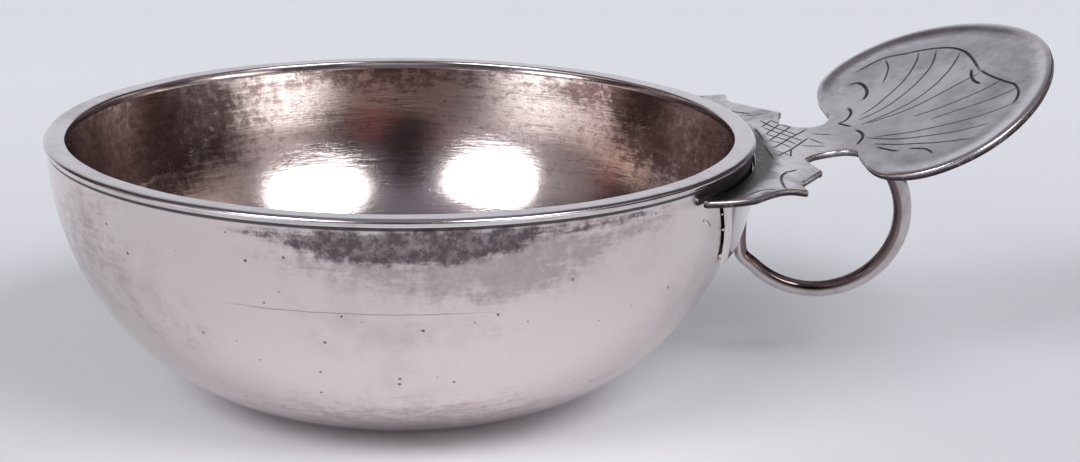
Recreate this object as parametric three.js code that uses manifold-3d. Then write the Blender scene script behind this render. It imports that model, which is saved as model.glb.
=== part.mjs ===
// A silver wine taster: a round-bottomed bowl with a flat strip soldered round its mouth, and a handle
// made of a cut and bent plate, a saddle plate on the wall below it and a wire finger ring.
// Millimetres, +Z up. The origin is the centre of the flat foot, and +X runs out along the handle.
import * as THREE from "three";
import { mergeVertices } from "three/addons/utils/BufferGeometryUtils.js";
import { TessellateModifier } from "three/addons/modifiers/TessellateModifier.js";
import Module from "manifold-3d";

// Bowl
const overallHeight = 38.9; // table to the top of the mouth strip
const mouthRadius = 50.5; // outside of the wall at the mouth
const footRadius = 14.5; // flat of the base
const wallThickness = 1.25;
const turnSegments = 64; // facets round the bowl and the strip
const wallSteps = 14; // facets up the wall

// Strip round the mouth
const stripOverhang = 0.5; // beyond the outside of the wall
const stripWidth = 3.1; // radial
const stripHeight = 1.35;
const stripCornerRadius = 0.3; // inner corner, worn round

// Solder gap that each piece of the handle keeps to its neighbour
const solderGap = 0.3;

// Handle plate, cut from one flat sheet. Sizes on the flat sheet: "out" is measured along the handle
// from the strip's outer edge, "half" from the centre line to one side.
const plateThickness = 1;
const plateDrop = 3.25; // top of the mouth strip down to the top of the plate, at its middle
const wingRise = 0.55; // of each wing tip above the middle, as the wings curve up
const wingRiseEnd = 9; // "out" at which the rise has faded
const wingSweep = 43.1; // degrees each side that the wings reach round the wall
const wingTipWidth = 0.7; // the tips end blunt
const wingEdgeOut = -5; // where the wing's outer edge turns towards its corner
const wingEdgeHalf = 32.3;
const wingCornerOut = 2.6;
const wingCornerHalf = 26.8;
const wingCornerRound = 1.2;
const wingNotchOut = 3.9; // between the wing's corner and its spur
const wingNotchHalf = 20.4;
const spurOut = 8.4;
const spurHalf = 13;
const spurRound = 0.8;
const neckNotchOut = 6.9; // between the spur and the neck
const neckNotchHalf = 8.4;
const neckOut = 12; // narrowest place of the neck
const neckHalf = 5.1;
const cuspOut = 14.6; // where the neck runs into the thumb disc
const cuspHalf = 7;

// Thumb disc, wider than it is long, with a raised border
const discBackOut = 14.5; // rounded shoulders next to the neck
const discFrontOut = 47.5;
const discHalf = 21.8; // half of its greatest width
const discShoulderHalf = 11.5; // middle of each shoulder
const discWidestOut = 26.5;
const borderWidth = 2.4;
const borderRise = 0.3; // at the edge, falling to nothing on the inside
const borderEndHalf = 9.5; // the border stops here, short of the neck

// Set of the plate: the disc is bent up, and the whole handle leans a little to one side
const discTilt = 24.5; // degrees
const bendStart = 9;
const bendEnd = 17;
const wingLean = 0.5; // degrees, far side up
const discLean = 10;
const leanStart = -2;
const leanEnd = 16;
const plateFacet = 4.5; // longest facet edge of the sheet
const curveSteps = 6; // points on each curve of the outline

// Saddle plate, wrapped on the wall under the handle plate
const saddleThickness = 0.8;
const saddleTopAngle = 36.5; // degrees each side of the handle's centre line
const saddleFootAngle = 28.4;
const saddleFootDrop = 15.3; // below the top of the mouth strip, at the corners
const saddleArchDrop = 13.8; // the same at the centre line
const saddleFacetsAcross = 24;
const saddleFacetsUp = 4;

// Finger ring of round wire, thinner towards the wall
const ringRadius = 12.75; // centre line of the wire
const ringCentreOut = 10.6;
const ringCentreDrop = 9.7; // below the underside of the handle plate
const ringLean = 8.7; // degrees, foot of the ring away from the near side
const ringTurn = 12; // degrees, front of the ring towards the near side
const wireRadiusFront = 1.42; // under the disc
const wireRadiusBack = 0.8; // at the wall
const wireTaper = 1.6; // above 1, most of the taper is in the half next to the wall
const wireEndAngle = 80; // degrees above the ring's centre; the plate's underside cuts the wire before that
const wallLegTopDrop = 0.5; // top of the back leg, below the underside of the handle plate
const wallLegFootDrop = 9; // where the back leg leaves the wall
const ringSideAngle = 210; // degrees round from straight out, where the arc runs into the back leg
const wireSides = 10;
const wireSteps = 46;

const silver = { color: 0xc8c2c2, roughness: 0.32, metalness: 1 };

const stripOuterRadius = mouthRadius + stripOverhang;
const ringTop = overallHeight - plateDrop - plateThickness; // underside of the handle plate at the wall
const stripFoot = overallHeight - stripHeight; // the strip sits on the wall's edge here

const wasm = await Module();
wasm.setup();

const radians = THREE.MathUtils.degToRad;

// Only the positions of a geometry, with shared vertices merged.
function weld(geometry) {
  const bare = new THREE.BufferGeometry();
  bare.setAttribute("position", geometry.getAttribute("position"));
  if (geometry.index) bare.setIndex(geometry.index);
  return mergeVertices(bare, 1e-4);
}

function toSolid(geometry) {
  const welded = weld(geometry);
  const vertProperties = new Float32Array(welded.attributes.position.array);
  const triVerts = new Uint32Array(welded.index.array);
  return new wasm.Manifold(new wasm.Mesh({ numProp: 3, vertProperties, triVerts }));
}

function toGeometry(solid) {
  const { vertProperties, triVerts } = solid.getMesh();
  const geometry = new THREE.BufferGeometry();
  geometry.setAttribute("position", new THREE.BufferAttribute(vertProperties, 3));
  return geometry.setIndex(new THREE.BufferAttribute(triVerts, 1));
}

// Splits every edge longer than facet and moves each vertex by place(x, y, z, target).
function reshape(geometry, facet, place) {
  const split = new TessellateModifier(facet, 12).modify(weld(geometry).toNonIndexed());
  const position = split.getAttribute("position");
  const target = new THREE.Vector3();
  for (let i = 0; i < position.count; i++) {
    place(position.getX(i), position.getY(i), position.getZ(i), target);
    position.setXYZ(i, target.x, target.y, target.z);
  }
  return weld(split);
}

// Radius of a quarter-elliptical wall at a height, for a wall of this mouth radius whose floor is at floorHeight.
function wallRadius(height, radius = mouthRadius, floorHeight = 0) {
  const fall = (overallHeight - height) / (overallHeight - floorHeight);
  return footRadius + (radius - footRadius) * Math.sqrt(Math.max(0, 1 - fall * fall));
}

function bowlGeometry() {
  const mouthFall = Math.asin(stripHeight / overallHeight);
  const outside = [];
  const inside = [];
  const innerRadius = mouthRadius - wallThickness;
  for (let i = 0; i <= wallSteps; i++) {
    const angle = THREE.MathUtils.lerp(Math.PI / 2, mouthFall, i / wallSteps);
    const height = Math.min(stripFoot, overallHeight * (1 - Math.sin(angle)));
    outside.push(new THREE.Vector2(wallRadius(height), height));
    const level = Math.min(stripFoot, overallHeight - (overallHeight - wallThickness) * Math.sin(angle));
    inside.push(new THREE.Vector2(wallRadius(level, innerRadius, wallThickness), level));
  }
  inside[wallSteps].y = stripFoot;
  const profile = [
    new THREE.Vector2(0, 0),
    ...outside,
    ...inside.reverse(),
    new THREE.Vector2(0, wallThickness),
  ];
  return new THREE.LatheGeometry(profile, turnSegments).rotateX(Math.PI / 2);
}

// Flat strip with a half-round outer edge.
function stripGeometry() {
  const innerRadius = stripOuterRadius - stripWidth;
  const round = stripHeight / 2;
  const corner = stripCornerRadius;
  const profile = [new THREE.Vector2(innerRadius, stripFoot + corner)];
  profile.push(new THREE.Vector2(innerRadius + corner, stripFoot));
  for (let i = 0; i <= 6; i++) {
    const angle = radians(-90 + 30 * i);
    const radius = stripOuterRadius - round + round * Math.cos(angle);
    profile.push(new THREE.Vector2(radius, stripFoot + round + round * Math.sin(angle)));
  }
  profile.push(new THREE.Vector2(innerRadius + corner, overallHeight));
  profile.push(new THREE.Vector2(innerRadius, overallHeight - corner));
  profile.push(profile[0].clone());
  return new THREE.LatheGeometry(profile, turnSegments).rotateX(Math.PI / 2);
}

// Half of the thumb disc's edge, from the cusp next to the neck round to the front, as three curves.
function discCurves(path) {
  const shoulderTurnOut = (discBackOut + discWidestOut) / 2 - 2.4;
  path.bezierCurveTo(
    cuspOut - 0.2, cuspHalf + 1.5,
    discBackOut, discShoulderHalf - 2,
    discBackOut, discShoulderHalf,
  );
  path.bezierCurveTo(
    discBackOut, discHalf - 5,
    shoulderTurnOut, discHalf,
    discWidestOut, discHalf,
  );
  path.bezierCurveTo(
    discWidestOut + 10.5, discHalf,
    discFrontOut, discHalf * 0.5,
    discFrontOut, 0,
  );
}

// Points of one half of the sheet's outline, from the wall to the front of the disc.
function halfOutline() {
  const seatRadius = mouthRadius + solderGap;
  const sweep = radians(wingSweep);
  const tipOut = (seatRadius + wingTipWidth) * Math.cos(sweep) - stripOuterRadius;
  const tipHalf = (seatRadius + wingTipWidth) * Math.sin(sweep);
  const path = new THREE.Path();
  path.moveTo(seatRadius - stripOuterRadius, 0);
  path.absarc(-stripOuterRadius, 0, seatRadius, 0, sweep, false);
  path.lineTo(tipOut, tipHalf);
  path.quadraticCurveTo(wingEdgeOut - 2, tipHalf, wingEdgeOut, wingEdgeHalf);
  path.quadraticCurveTo(wingEdgeOut + 3, wingEdgeHalf - 3.5, wingCornerOut - wingCornerRound, wingCornerHalf + 1);
  path.quadraticCurveTo(wingCornerOut + 0.6, wingCornerHalf + 0.3, wingCornerOut, wingCornerHalf - wingCornerRound);
  path.quadraticCurveTo(wingCornerOut - 0.4, wingNotchHalf + 2, wingNotchOut, wingNotchHalf);
  path.quadraticCurveTo(wingNotchOut + 1.4, wingNotchHalf - 3, spurOut - spurRound, spurHalf + spurRound);
  path.quadraticCurveTo(spurOut + 0.3, spurHalf, spurOut - 0.5, spurHalf - spurRound);
  path.quadraticCurveTo(spurOut - 1.2, neckNotchHalf + 2, neckNotchOut, neckNotchHalf);
  path.bezierCurveTo(
    neckNotchOut + 1.2, neckHalf + 1.6,
    neckOut - 2.4, neckHalf,
    neckOut, neckHalf,
  );
  path.quadraticCurveTo(cuspOut - 1, neckHalf, cuspOut, cuspHalf);
  discCurves(path);
  return path.getPoints(curveSteps);
}

function mirrored(points) {
  return points.map((p) => new THREE.Vector2(p.x, -p.y)).reverse();
}

// The raised border, open at the neck: the disc's edge and the same edge moved inwards bound a strip
// whose top slopes down inwards until it runs into the sheet.
function borderGeometry() {
  const path = new THREE.Path();
  path.moveTo(cuspOut, cuspHalf);
  discCurves(path);
  const half = path.getPoints(curveSteps).filter((p) => p.y > borderEndHalf || p.x > discWidestOut);
  const edge = [...half, ...mirrored(half).slice(1)];
  const inner = edge.map((p, i) => {
    const before = edge[Math.max(0, i - 1)];
    const after = edge[Math.min(edge.length - 1, i + 1)];
    const along = new THREE.Vector2().subVectors(after, before).normalize();
    return new THREE.Vector2(p.x + along.y * borderWidth, p.y - along.x * borderWidth);
  });
  const spans = edge.length - 1;
  const strip = new THREE.BoxGeometry(spans, 2, 2, spans, 1, 1);
  const position = strip.getAttribute("position");
  for (let i = 0; i < position.count; i++) {
    const station = Math.round(position.getX(i) + spans / 2);
    const onEdge = position.getY(i) > 0;
    const point = onEdge ? edge[station] : inner[station];
    const top = onEdge ? borderRise : -borderRise / 8;
    position.setXYZ(i, point.x, point.y, position.getZ(i) > 0 ? top : -plateThickness / 2);
  }
  return strip;
}

// Position in space of the point (out, side) of the flat sheet, lift above its top face.
const bendLength = bendEnd - bendStart;
const tilt = radians(discTilt);
const bendRadius = bendLength / tilt;

function placeOnPlate(out, side, lift, target) {
  const bent = THREE.MathUtils.clamp(out - bendStart, 0, bendLength);
  const slope = bent / bendRadius;
  const past = Math.max(0, out - bendEnd);
  const run = Math.min(out, bendStart) + bendRadius * Math.sin(slope) + past * Math.cos(tilt);
  const climb = bendRadius * (1 - Math.cos(slope)) + past * Math.sin(tilt);
  const leanShare = THREE.MathUtils.smoothstep(out, leanStart, leanEnd);
  const lean = radians(THREE.MathUtils.lerp(wingLean, discLean, leanShare));
  const above = side * Math.sin(lean) + lift * Math.cos(lean);
  const rise = wingRise * (side / wingEdgeHalf) ** 2 * (1 - THREE.MathUtils.smoothstep(out, 0, wingRiseEnd));
  return target.set(
    stripOuterRadius + run - above * Math.sin(slope),
    side * Math.cos(lean) - lift * Math.sin(lean),
    overallHeight - plateDrop + rise + climb + above * Math.cos(slope),
  );
}

function plateGeometry() {
  const half = halfOutline();
  const outline = new THREE.Shape([...half, ...mirrored(half).slice(1, -1)]);
  const sheet = new THREE.ExtrudeGeometry(outline, { depth: plateThickness, bevelEnabled: false });
  sheet.translate(0, 0, -plateThickness);
  const joined = toGeometry(toSolid(sheet).add(toSolid(borderGeometry())));
  return reshape(joined, plateFacet, placeOnPlate);
}

// The saddle: a block of facets narrowed towards its foot, arched along its lower edge and wrapped on
// the outside of the wall.
function saddleGeometry() {
  const top = ringTop - solderGap;
  const foot = overallHeight - saddleFootDrop;
  const arch = overallHeight - saddleArchDrop;
  const block = new THREE.BoxGeometry(2, 1, saddleThickness, saddleFacetsAcross, saddleFacetsUp, 1);
  block.translate(0, 0.5, saddleThickness / 2);
  const position = block.getAttribute("position");
  for (let i = 0; i < position.count; i++) {
    const across = position.getX(i);
    const up = position.getY(i);
    const angle = across * radians(THREE.MathUtils.lerp(saddleFootAngle, saddleTopAngle, up));
    const lowerEdge = THREE.MathUtils.lerp(arch, foot, across * across);
    const side = mouthRadius * Math.sin(angle);
    const upperEdge = top + side * Math.tan(radians(wingLean)) + wingRise * (side / wingEdgeHalf) ** 2;
    const height = THREE.MathUtils.lerp(lowerEdge, upperEdge, up);
    const radius = wallRadius(height) + solderGap + position.getZ(i);
    position.setXYZ(i, radius * Math.cos(angle), radius * Math.sin(angle), height);
  }
  return weld(block);
}

function wireRadius(share) {
  return THREE.MathUtils.lerp(wireRadiusFront, wireRadiusBack, Math.pow(share, wireTaper));
}

// Centre line of the wire in the ring's own plane: x out along the handle, y up.
function ringPath() {
  const points = [];
  const centreX = stripOuterRadius + ringCentreOut;
  const centreY = ringTop - ringCentreDrop;
  const arcSteps = 16;
  for (let i = 0; i <= arcSteps; i++) {
    const angle = radians(THREE.MathUtils.lerp(wireEndAngle, ringSideAngle - 360, i / arcSteps));
    points.push(new THREE.Vector3(centreX + ringRadius * Math.cos(angle), centreY + ringRadius * Math.sin(angle), 0));
  }
  const legSteps = 3;
  for (let i = 0; i <= legSteps; i++) {
    const height = ringTop - THREE.MathUtils.lerp(wallLegFootDrop, wallLegTopDrop, i / legSteps);
    const standOff = 2 * solderGap + saddleThickness + wireRadius(THREE.MathUtils.lerp(0.85, 1, i / legSteps));
    points.push(new THREE.Vector3(wallRadius(height) + standOff, height, 0));
  }
  return new THREE.CatmullRomCurve3(points, false, "centripetal");
}

// A cylinder along the path, its radius falling towards the wall. The ring's plane leans about the
// handle's line and is turned about the leg on the wall. Its front end is cut to the underside of the plate.
function ringGeometry() {
  const path = ringPath();
  const wire = new THREE.CylinderGeometry(1, 1, 1, wireSides, wireSteps).rotateX(Math.PI / 2);
  const position = wire.getAttribute("position");
  const lean = radians(ringLean);
  const turn = radians(ringTurn);
  const pivot = stripOuterRadius + 2 * solderGap + saddleThickness;
  const normal = new THREE.Vector3();
  for (let i = 0; i < position.count; i++) {
    const share = position.getZ(i) + 0.5;
    const centre = path.getPointAt(share);
    const along = path.getTangentAt(share);
    normal.set(-along.y, along.x, 0);
    const radius = wireRadius(share);
    const inPlane = position.getX(i) * radius;
    const across = -position.getY(i) * radius;
    const out = centre.x + normal.x * inPlane - pivot;
    const below = ringTop - (centre.y + normal.y * inPlane);
    const side = across * Math.cos(lean) + below * Math.sin(lean);
    position.setXYZ(
      i,
      pivot + out * Math.cos(turn) + side * Math.sin(turn),
      side * Math.cos(turn) - out * Math.sin(turn),
      ringTop - below * Math.cos(lean) + across * Math.sin(lean),
    );
  }
  const cutterDepth = 12;
  const cutter = new THREE.BoxGeometry(20, 24, cutterDepth, 20, 4, 2);
  cutter.translate(bendEnd, 0, cutterDepth / 2 - plateThickness - solderGap);
  const cut = cutter.getAttribute("position");
  const target = new THREE.Vector3();
  for (let i = 0; i < cut.count; i++) {
    placeOnPlate(cut.getX(i), cut.getY(i), cut.getZ(i), target);
    cut.setXYZ(i, target.x, target.y, target.z);
  }
  return toGeometry(toSolid(wire).subtract(toSolid(cutter)));
}

const taster = new THREE.Group();

function addPiece(name, geometry, tone) {
  geometry.computeVertexNormals();
  const piece = new THREE.Mesh(geometry, new THREE.MeshStandardMaterial({ ...silver, ...tone }));
  piece.name = name;
  taster.add(piece);
}

addPiece("bowl", bowlGeometry(), {});
addPiece("mouth_strip", stripGeometry(), { color: 0xd2cdcd });
addPiece("thumb_plate", plateGeometry(), { color: 0xa7a1a8, roughness: 0.42 });
addPiece("saddle_plate", saddleGeometry(), {});
addPiece("finger_ring", ringGeometry(), { roughness: 0.25 });

export default taster;
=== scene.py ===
"""A silver wine taster on a pale floor: bowl, mouth band, engraved handle plate, saddle and finger ring.

Lengths of the object are written in millimetres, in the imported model's frame, and turned into metres where
meshes are made. The floor and the lamps are in metres. +X runs out along the handle, +Z up, and the origin
is the centre of the foot.
"""
import math
from functools import reduce

import bpy
import numpy as np
from mathutils import Matrix, Vector
from mathutils.geometry import delaunay_2d_cdt

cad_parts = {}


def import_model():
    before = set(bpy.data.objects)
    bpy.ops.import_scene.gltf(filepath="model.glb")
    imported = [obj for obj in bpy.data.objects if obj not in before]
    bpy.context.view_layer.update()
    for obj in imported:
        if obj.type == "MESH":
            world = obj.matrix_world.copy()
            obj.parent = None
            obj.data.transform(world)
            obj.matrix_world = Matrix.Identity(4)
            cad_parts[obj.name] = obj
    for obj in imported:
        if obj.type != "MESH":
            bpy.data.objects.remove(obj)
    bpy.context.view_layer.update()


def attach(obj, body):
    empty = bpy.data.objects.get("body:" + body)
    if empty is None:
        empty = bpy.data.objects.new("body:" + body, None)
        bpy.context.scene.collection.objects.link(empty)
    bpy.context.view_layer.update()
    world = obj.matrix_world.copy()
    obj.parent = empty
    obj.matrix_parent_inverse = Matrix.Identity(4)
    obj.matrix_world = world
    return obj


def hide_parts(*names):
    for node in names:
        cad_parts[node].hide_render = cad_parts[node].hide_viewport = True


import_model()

MM = 0.001
TURN = 2 * math.pi

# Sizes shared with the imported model
HEIGHT = 38.9
MOUTH_RADIUS = 50.5
FOOT_RADIUS = 14.5
WALL = 1.25
STRIP_OUTER = 51.0
STRIP_WIDTH = 3.1
STRIP_HEIGHT = 1.35
STRIP_FOOT = HEIGHT - STRIP_HEIGHT
GAP = 0.3

PLATE_THICKNESS = 1.0
PLATE_DROP = 3.25
WING_RISE = 0.55
WING_RISE_END = 9.0
WING_EDGE = (-5.0, 32.3)
WING_SWEEP = 43.1
WING_TIP = 0.7
DISC_BACK = 14.5
DISC_FRONT = 47.5
DISC_HALF = 21.8
DISC_SHOULDER = 11.5
DISC_WIDEST = 26.5
CUSP = (14.6, 7.0)
BORDER_RISE = 0.3
DISC_TILT = math.radians(24.5)
BEND = (9.0, 17.0)
LEAN = (math.radians(0.5), math.radians(10.0))
LEAN_SPAN = (-2.0, 16.0)
PLATE_UNDER = HEIGHT - PLATE_DROP - PLATE_THICKNESS

SADDLE_THICKNESS = 0.8
SADDLE_TOP = math.radians(36.5)
SADDLE_FOOT = math.radians(28.4)
SADDLE_FOOT_DROP = 15.3
SADDLE_ARCH_DROP = 13.8

RING_RADIUS = 12.75
RING_OUT = 10.6
RING_DROP = 9.7
RING_LEAN = math.radians(8.7)
RING_TURN = math.radians(12.0)
RING_SIDE = 210
WIRE_FRONT = 1.42
WIRE_BACK = 0.8
WIRE_TAPER = 1.6

# Sizes of the finer meshes alone
ROUND = 384
EDGE_ROUND = 0.3
INNER_SWELL = 0.5


def lerp(a, b, t):
    return a + (b - a) * t


def smoothstep(value, low, high):
    t = np.clip((value - low) / (high - low), 0.0, 1.0)
    return t * t * (3 - 2 * t)


def waves(points, seed, length, octaves):
    """Smooth, seeded unevenness from -1 to 1 at points, as a sum of sines that run every way."""
    rng = np.random.default_rng(seed)
    total = np.zeros(len(points))
    norm = 0.0
    for octave in range(octaves):
        count = 9
        scale = length / 1.9 ** octave
        weight = 0.5 ** octave
        directions = rng.normal(size=(count, 3))
        directions /= np.linalg.norm(directions, axis=1)[:, None]
        phases = rng.uniform(0, TURN, count)
        stretch = rng.uniform(0.7, 1.4, count)
        field = np.sin(points @ (directions * stretch[:, None]).T * TURN / scale + phases)
        total += weight * field.sum(axis=1) / math.sqrt(count)
        norm += weight
    return np.clip(total / norm, -1.6, 1.6)


# Meshes

def add_piece(name, points, faces, material, node, sharp, attributes=None):
    """A smooth mesh from points in millimetres that rides on the body and stands for a CAD node."""
    mesh = bpy.data.meshes.new(name)
    mesh.from_pydata([tuple(p) for p in np.asarray(points, float) * MM], [], faces)
    mesh.validate()
    mesh.polygons.foreach_set("use_smooth", [True] * len(mesh.polygons))
    mesh.set_sharp_from_angle(angle=math.radians(sharp))
    for key, values in (attributes or {}).items():
        layer = mesh.attributes.new(key, "FLOAT", "POINT")
        layer.data.foreach_set("value", np.asarray(values, np.float32))
    mesh.materials.append(material)
    piece = bpy.data.objects.new(name, mesh)
    bpy.context.collection.objects.link(piece)
    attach(piece, "root")
    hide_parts(node)


def grid_faces(rows, columns, close_columns=False, close_rows=False, flip=False):
    """Quads of a grid of rows x columns points, wrapped where asked."""
    faces = []
    for r in range(rows if close_rows else rows - 1):
        for c in range(columns if close_columns else columns - 1):
            a = r * columns + c
            b = r * columns + (c + 1) % columns
            d = (r + 1) % rows * columns + c
            e = (r + 1) % rows * columns + (c + 1) % columns
            faces.append((a, d, e, b) if flip else (a, b, e, d))
    return faces


def fan(centre, first, count, flip=False):
    """Triangles between a point and a closed ring of points."""
    ring = [(first + c, first + (c + 1) % count) for c in range(count)]
    return [(centre, b, a) if flip else (centre, a, b) for a, b in ring]


def bridge(one, other):
    """Faces between two closed rings of points; two equal neighbours in the other ring give a triangle."""
    faces = []
    for i in range(len(one)):
        n = (i + 1) % len(one)
        ahead = () if other[i] == other[n] else (other[n],)
        faces.append((one[i], other[i], *ahead, one[n]))
    return faces


def shifted(faces, amount, flip=False):
    """Faces moved on to later points, turned over where asked."""
    return [tuple(i + amount for i in (face[::-1] if flip else face)) for face in faces]


def lathe(profile, turns):
    """Points of a closed profile of (radius, height) turned about Z, one row for each of its points."""
    profile = np.asarray(profile, float)
    angle = np.arange(turns) * TURN / turns
    radius = profile[:, 0][:, None]
    x = radius * np.cos(angle)
    y = radius * np.sin(angle)
    z = np.repeat(profile[:, 1][:, None], turns, axis=1)
    return np.stack([x, y, z], axis=-1).reshape(-1, 3)


def arc(centre, radius, start, sweep, count):
    """Points of an arc, both ends among them; angles in degrees."""
    angles = np.radians(start + sweep * np.linspace(0, 1, count))
    return [(centre[0] + radius * math.cos(a), centre[1] + radius * math.sin(a)) for a in angles]


def wall_radius(height, radius=MOUTH_RADIUS, floor=0.0):
    """Radius of the bowl's quarter-elliptical wall at a height."""
    fall = (HEIGHT - np.asarray(height, float)) / (HEIGHT - floor)
    return FOOT_RADIUS + (radius - FOOT_RADIUS) * np.sqrt(np.maximum(0, 1 - fall ** 2))


# Bowl

def bowl_profile():
    """(radius, height) from the centre underneath, up the outside, and down the inside to the centre."""
    steps = 110
    top = math.asin(STRIP_HEIGHT / HEIGHT)
    angle = np.linspace(math.pi / 2, top, steps)
    outer_z = HEIGHT * (1 - np.sin(angle))
    outer_z[-1] = STRIP_FOOT
    outer_r = wall_radius(outer_z)
    inner_z = HEIGHT - (HEIGHT - WALL) * np.sin(angle)
    inner_z = np.minimum(inner_z, STRIP_FOOT)
    # inside, the wall swells a little below its edge
    inner_r = wall_radius(inner_z, MOUTH_RADIUS - WALL, WALL)
    inner_r -= INNER_SWELL * (1 - np.exp((inner_z - STRIP_FOOT) / 3.5))
    inner_z[-1] = STRIP_FOOT
    flat = np.linspace(0.12, 1, 14, endpoint=False) * FOOT_RADIUS
    outside = list(zip(flat, np.zeros(len(flat)))) + list(zip(outer_r, outer_z))
    seam = [(outer_r[-1] - 0.1, STRIP_FOOT + 0.02), (inner_r[-1] + 0.1, STRIP_FOOT + 0.02)]
    inside = list(zip(inner_r[::-1], inner_z[::-1])) + list(zip(flat[::-1], np.full(len(flat), WALL)))
    return outside + seam + inside, len(outside)


def bowl(material):
    """The wall and foot as one closed skin, hammered and worn a little uneven below the mouth."""
    profile, outside_count = bowl_profile()
    points = lathe(profile, ROUND)
    faces = grid_faces(len(profile), ROUND, close_columns=True)
    radius = np.hypot(points[:, 0], points[:, 1])
    keep = smoothstep(radius, 3, 10) * smoothstep(HEIGHT - points[:, 2], 1.4, 6)
    inside = np.arange(len(points)) >= (outside_count + 1) * ROUND
    streaks = 0.35 * waves(points, 11, 40, 2) + 0.75 * waves(points * (1, 1, 3.2), 13, 34, 2)
    uneven = np.where(inside, streaks, waves(points, 12, 34, 3))
    depth = np.where(inside, 0.045, 0.021)
    away = points - (0, 0, HEIGHT)
    away /= np.maximum(np.linalg.norm(away, axis=1), 1e-6)[:, None]
    points -= away * (uneven * depth * keep)[:, None]
    points[:, 2] = np.maximum(points[:, 2], 0.0)
    centre_under = len(points)
    points = np.vstack([points, [(0, 0, 0), (0, 0, WALL)]])
    faces += fan(centre_under, 0, ROUND, flip=True)
    faces += fan(centre_under + 1, centre_under - ROUND, ROUND)
    attributes = {"inside": np.concatenate([inside, [False, True]])}
    add_piece("bowl_body", points, faces, material, "bowl", 50, attributes)


def mouth_band(material):
    """The flat strip: worn square on the inside, half round on the outside."""
    inner = STRIP_OUTER - STRIP_WIDTH
    half = STRIP_HEIGHT / 2
    corner = 0.35
    low_corner = 0.2
    profile = arc((STRIP_OUTER - half, STRIP_FOOT + half), half, -90, 180, 9)
    for t in np.linspace(0.12, 0.88, 5):
        profile.append((lerp(STRIP_OUTER - half, inner + corner, t), HEIGHT))
    profile += arc((inner + corner, HEIGHT - corner), corner, 90, 90, 6)
    profile += arc((inner + low_corner, STRIP_FOOT + low_corner), low_corner, 180, 90, 4)
    for t in (0.3, 0.7):
        profile.append((lerp(inner + low_corner, STRIP_OUTER - half, t), STRIP_FOOT))
    points = lathe(profile, ROUND)
    top = smoothstep(points[:, 2], HEIGHT - 0.5, HEIGHT)
    points[:, 2] -= 0.035 * (waves(points, 21, 17, 2) + 1) * top
    radius = np.hypot(points[:, 0], points[:, 1])
    inward = 1 - 0.03 * (waves(points, 22, 12, 2) + 1) / radius
    points[:, :2] *= inward[:, None]
    faces = grid_faces(len(profile), ROUND, close_columns=True, close_rows=True)
    add_piece("mouth_band", points, faces, material, "mouth_strip", 60)


# Handle plate

def bezier(points, count=24):
    """Points of a Bezier curve of any order, without its first point."""
    points = np.asarray(points, float)
    out = []
    for t in np.linspace(0, 1, count + 1)[1:]:
        level = points
        while len(level) > 1:
            level = level[:-1] * (1 - t) + level[1:] * t
        out.append(level[0])
    return out


def disc_edge():
    """One half of the disc's outline, from the cusp at the neck to the middle of its front."""
    back = (DISC_BACK, DISC_SHOULDER)
    side = (DISC_WIDEST, DISC_HALF)
    turn = (DISC_BACK + DISC_WIDEST) / 2 - 2.4
    edge = [np.array(CUSP)]
    edge += bezier([CUSP, (CUSP[0] - 0.2, CUSP[1] + 1.5), (DISC_BACK, DISC_SHOULDER - 2), back])
    edge += bezier([back, (DISC_BACK, DISC_HALF - 5), (turn, DISC_HALF), side], 40)
    reach = (DISC_WIDEST + 10.5, DISC_HALF)
    return edge + bezier([side, reach, (DISC_FRONT, DISC_HALF * 0.5), (DISC_FRONT, 0)], 60)


def wing_edge():
    """One half of the outline, from the middle of the edge at the wall to the neck's end."""
    seat = MOUTH_RADIUS + GAP
    sweep = math.radians(WING_SWEEP)
    path = []
    for angle in np.linspace(0, sweep, 80):
        path.append(np.array((seat * math.cos(angle) - STRIP_OUTER, seat * math.sin(angle))))
    tip = np.array(((seat + WING_TIP) * math.cos(sweep) - STRIP_OUTER, (seat + WING_TIP) * math.sin(sweep)))
    curves = (
        (2, tip),
        (10, (-7, tip[1]), WING_EDGE),
        (16, (-2, 28.8), (1.4, 27.8)),
        (8, (3.2, 27.1), (2.6, 25.6)),
        (14, (2.2, 22.4), (3.9, 20.4)),
        (16, (5.3, 17.4), (7.6, 13.8)),
        (8, (8.7, 13), (7.9, 12.2)),
        (10, (7.2, 10.4), (6.9, 8.4)),
        (18, (8.1, 6.7), (9.6, 5.1), (12, 5.1)),
        (8, (13.6, 5.1), CUSP),
    )
    for count, *control in curves:
        path += bezier([path[-1], *control], count)
    return path


def resample(path, step, closed=False):
    """Points along a path at even steps; corners sharper than 35 degrees are kept."""
    path = np.asarray(path, float)
    if closed:
        path = np.vstack([path, path[:1]])
    out = [path[0]]
    start = 0
    for i in range(1, len(path)):
        corner = i == len(path) - 1
        if not corner:
            a = path[i] - path[i - 1]
            b = path[i + 1] - path[i]
            turn = abs(math.atan2(a[0] * b[1] - a[1] * b[0], a @ b))
            corner = turn > math.radians(35)
        if corner:
            piece = path[start:i + 1]
            along = np.concatenate([[0], np.cumsum(np.linalg.norm(np.diff(piece, axis=0), axis=1))])
            count = max(1, round(along[-1] / step))
            for s in np.linspace(0, along[-1], count + 1)[1:]:
                out.append(np.array([np.interp(s, along, piece[:, k]) for k in (0, 1)]))
            start = i
    return np.array(out[:-1] if closed else out)


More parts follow.
